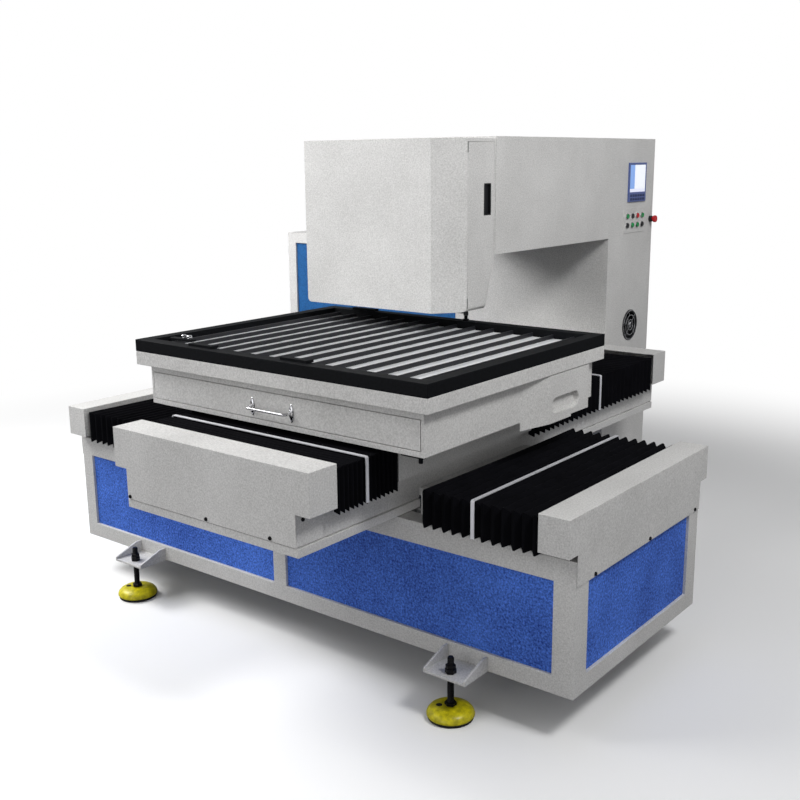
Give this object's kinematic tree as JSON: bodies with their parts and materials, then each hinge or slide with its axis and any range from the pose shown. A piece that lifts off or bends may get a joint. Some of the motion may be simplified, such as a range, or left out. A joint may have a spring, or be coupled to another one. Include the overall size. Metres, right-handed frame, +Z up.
{
  "type": "laser cutting machine",
  "caption": "Laser cutting machine with a slatted cross table on bellows-covered slides under a fixed cutting head held by a rear column and arm.",
  "frame": {"origin": "on the floor, in the middle of the machine's bounding box", "axes": "+X to the machine's right, -Y to its front where the drawer is, +Z up"},
  "size_m": [3.054, 2.924, 1.848],
  "materials": {
    "grey_paint": "fine textured powder coat",
    "blue_paint": "textured powder coat",
    "light_blue_paint": "textured powder coat",
    "black_paint": "satin powder coat",
    "yellow_paint": "gloss",
    "dark_steel": "blackened",
    "ground_steel": "ground",
    "bright_slat": "brushed",
    "bellows_cloth": "coated, matte",
    "chrome": "polished",
    "black_plastic": "matte",
    "panel_blue": "matte",
    "screen": "gloss",
    "green_plastic": "gloss",
    "red_plastic": "gloss",
    "head_alloy": "anodised",
    "nozzle_brass": "turned"
  },
  "bodies": {
    "machine": {"base_frame": "grey_paint", "base_panels": "blue_paint", "foot_brackets": "grey_paint", "foot_bolts": "dark_steel", "foot_pads": "yellow_paint", "x_guides": "ground_steel", "x_end_covers": "grey_paint", "rear_plinth": "black_paint", "column_shell": "grey_paint", "cabinet_shell": "grey_paint", "cabinet_panel": "light_blue_paint", "c_frame": "dark_steel", "arm_shell": "grey_paint", "hood_shell": "grey_paint", "laser_source": "dark_steel", "control_plate": "ground_steel", "hmi_bezel": "panel_blue", "hmi_screen": "screen", "button_plate": "grey_paint", "estop_base": "black_plastic", "fan_frame": "black_plastic", "fan_guard": "chrome", "door_hinges": "ground_steel", "x_bellows_right": "bellows_cloth", "x_bellows_left": "bellows_cloth"},
    "saddle_body": {"saddle": "grey_paint", "saddle_covers": "grey_paint", "x_runners": "ground_steel", "y_guides": "ground_steel", "y_bellows_front": "bellows_cloth", "y_bellows_rear": "bellows_cloth"},
    "table": {"table_carriage": "grey_paint", "y_runners": "ground_steel", "table_body": "grey_paint", "table_rim": "grey_paint", "slat_frame": "black_paint", "slats": "bright_slat", "frame_clamps": "black_paint", "duct_box": "grey_paint", "switch_bar": "black_paint"},
    "drawer": {"slag_drawer": "grey_paint", "drawer_handle": "chrome"},
    "lever": {"clamp_lever": "black_paint"},
    "head": {"laser_head": "head_alloy", "head_nozzle": "nozzle_brass"},
    "side_door": {"hood_door": "grey_paint", "hood_door_handle": "black_plastic"},
    "rear_door_column": {"column_door": "grey_paint"},
    "rear_door_cabinet": {"cabinet_door": "grey_paint"},
    "stop_button": {"estop_button": "red_plastic"},
    "fan": {"fan_rotor": "black_plastic"},
    "push_button_1": {"button_1": "green_plastic"},
    "push_button_2": {"button_2": "black_plastic"},
    "push_button_3": {"button_3": "red_plastic"},
    "push_button_4": {"button_4": "green_plastic"},
    "push_button_5": {"button_5": "black_plastic"},
    "push_button_6": {"button_6": "green_plastic"},
    "push_button_7": {"button_7": "green_plastic"},
    "push_button_8": {"button_8": "black_plastic"}
  },
  "joints": [
    {"name": "x_slide", "type": "slide", "parent": "machine", "child": "saddle_body", "axis": [1, 0, 0], "range_m": [-0.63, 0.33], "deforming": ["x_bellows_right", "x_bellows_left"]},
    {"name": "y_slide", "type": "slide", "parent": "saddle_body", "child": "table", "axis": [0, 1, 0], "range_m": [-0.17, 0.92], "deforming": ["y_bellows_front", "y_bellows_rear"]},
    {"name": "drawer_slide", "type": "slide", "parent": "table", "child": "drawer", "axis": [0, -1, 0], "range_m": [0, 0.6]},
    {"name": "lever_turn", "type": "hinge", "parent": "table", "child": "lever", "pos_m": [0.52, -0.104, 1.143], "axis": [0, 0, 1], "range_deg": [-90, 90]},
    {"name": "z_slide", "type": "slide", "parent": "machine", "child": "head", "axis": [0, 0, -1], "range_m": [0, 0.041]},
    {"name": "side_door_hinge", "type": "hinge", "parent": "machine", "child": "side_door", "pos_m": [0.5875, -0.194, 1.187], "axis": [0, 0, -1], "range_deg": [0, 100]},
    {"name": "column_door_hinge", "type": "hinge", "parent": "machine", "child": "rear_door_column", "pos_m": [-0.201, 1.453, 0.2], "axis": [0, 0, 1], "range_deg": [0, 110]},
    {"name": "cabinet_door_hinge", "type": "hinge", "parent": "machine", "child": "rear_door_cabinet", "pos_m": [-0.941, 1.453, 0.2], "axis": [0, 0, 1], "range_deg": [0, 110]},
    {"name": "stop_press", "type": "slide", "parent": "machine", "child": "stop_button", "axis": [-1, 0, 0], "range_m": [0, 0.005]},
    {"name": "fan_spin", "type": "hinge", "parent": "machine", "child": "fan", "pos_m": [0.589, 1.235, 0.94], "axis": [1, 0, 0], "continuous": true},
    {"name": "button_1_press", "type": "slide", "parent": "machine", "child": "push_button_1", "axis": [-1, 0, 0], "range_m": [0, 0.004], "stiffness_N_per_m": 500},
    {"name": "button_2_press", "type": "slide", "parent": "machine", "child": "push_button_2", "axis": [-1, 0, 0], "range_m": [0, 0.004], "stiffness_N_per_m": 500},
    {"name": "button_3_press", "type": "slide", "parent": "machine", "child": "push_button_3", "axis": [-1, 0, 0], "range_m": [0, 0.004], "stiffness_N_per_m": 500},
    {"name": "button_4_press", "type": "slide", "parent": "machine", "child": "push_button_4", "axis": [-1, 0, 0], "range_m": [0, 0.004], "stiffness_N_per_m": 500},
    {"name": "button_5_press", "type": "slide", "parent": "machine", "child": "push_button_5", "axis": [-1, 0, 0], "range_m": [0, 0.004], "stiffness_N_per_m": 500},
    {"name": "button_6_press", "type": "slide", "parent": "machine", "child": "push_button_6", "axis": [-1, 0, 0], "range_m": [0, 0.004], "stiffness_N_per_m": 500},
    {"name": "button_7_press", "type": "slide", "parent": "machine", "child": "push_button_7", "axis": [-1, 0, 0], "range_m": [0, 0.004], "stiffness_N_per_m": 500},
    {"name": "button_8_press", "type": "slide", "parent": "machine", "child": "push_button_8", "axis": [-1, 0, 0], "range_m": [0, 0.004], "stiffness_N_per_m": 500}
  ]
}
